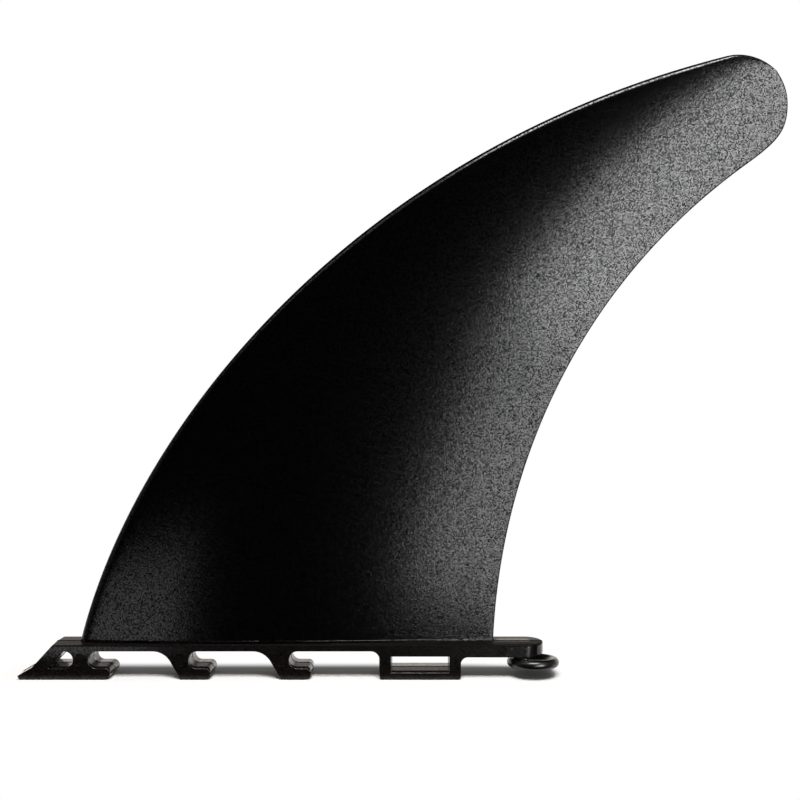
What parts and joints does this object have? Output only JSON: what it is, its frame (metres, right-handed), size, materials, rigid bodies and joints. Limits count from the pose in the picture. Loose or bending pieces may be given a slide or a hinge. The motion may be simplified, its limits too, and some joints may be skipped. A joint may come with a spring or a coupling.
{
  "type": "surfboard fin",
  "caption": "Swept-back foil blade on a narrow hooked base, with a framed block, a round-ended tail and a rubber plug with a thick round rim.",
  "frame": {"origin": "under the middle of the whole fin's box, at the level of the base's feet", "axes": "+X from the toe to the tail, +Y across the base, +Z from the feet up to the blade's tip"},
  "size_m": [0.2976, 0.0202, 0.2417],
  "materials": {
    "fin_plastic": "black moulded plastic, fine leather grain on the blade and satin on the base",
    "plug_rubber": "smooth glossy black rubber"
  },
  "bodies": {
    "root": {"fin": "fin_plastic", "tail_plug": "plug_rubber"}
  },
  "joints": []
}
